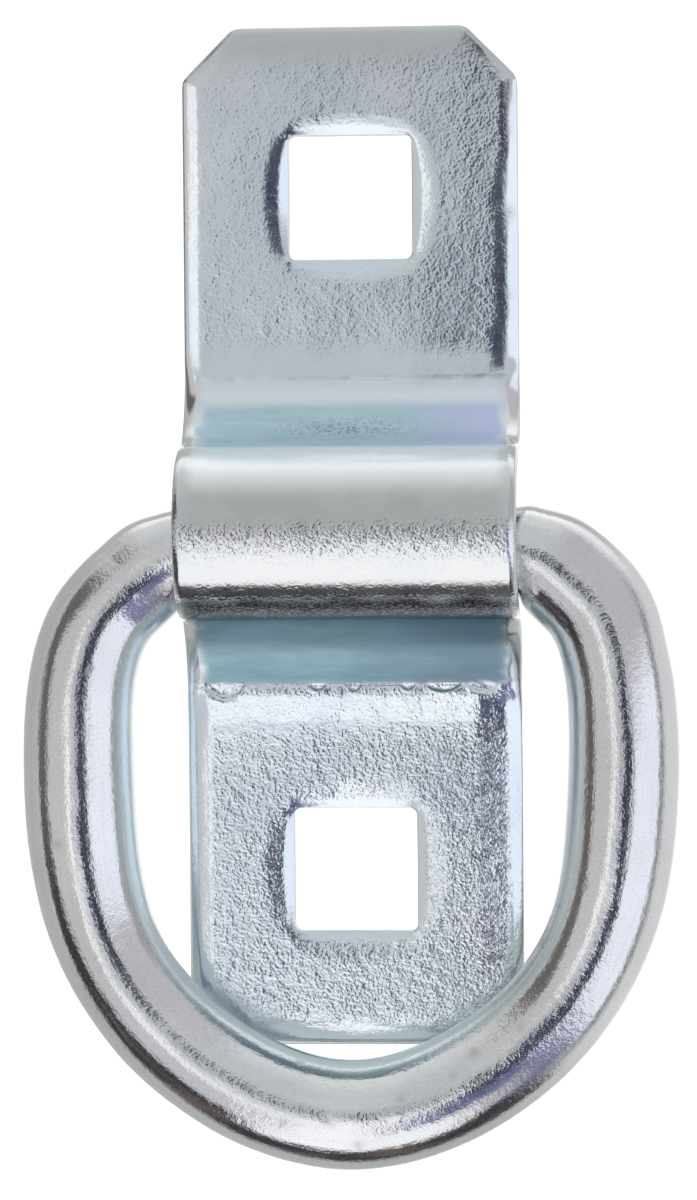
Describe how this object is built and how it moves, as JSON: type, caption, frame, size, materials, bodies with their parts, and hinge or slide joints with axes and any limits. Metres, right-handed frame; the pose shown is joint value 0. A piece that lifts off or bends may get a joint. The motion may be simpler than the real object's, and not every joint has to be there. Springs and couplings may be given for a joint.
{
  "type": "tie-down ring",
  "caption": "Surface-mounted tie-down ring: a folded steel strap with square bolt holes holds a swinging D-shaped wire ring in the channel under its raised hump.",
  "frame": {"origin": "midway between the centres of the two square bolt holes, on the mounting face", "axes": "+Z out of the mounting face towards the side that is seen, +Y along the strap towards the end that the ring doesn't cover at rest, +X across the strap"},
  "size_m": [0.0556, 0.0966, 0.0145],
  "materials": {
    "strap_zinc": "zinc plated pressed sheet, satin with a fine orange-peel speckle, faint blue passivate in the bends",
    "ring_zinc": "bright zinc plated round wire, smooth and glossy"
  },
  "bodies": {
    "strap": {"bracket": "strap_zinc"},
    "ring": {"d_ring": "ring_zinc"}
  },
  "joints": [
    {"name": "ring_swing", "type": "hinge", "parent": "strap", "child": "ring", "pos_m": [0, -0.00055, 0.0043], "axis": [-1, 0, 0], "range_deg": [0, 175]}
  ]
}
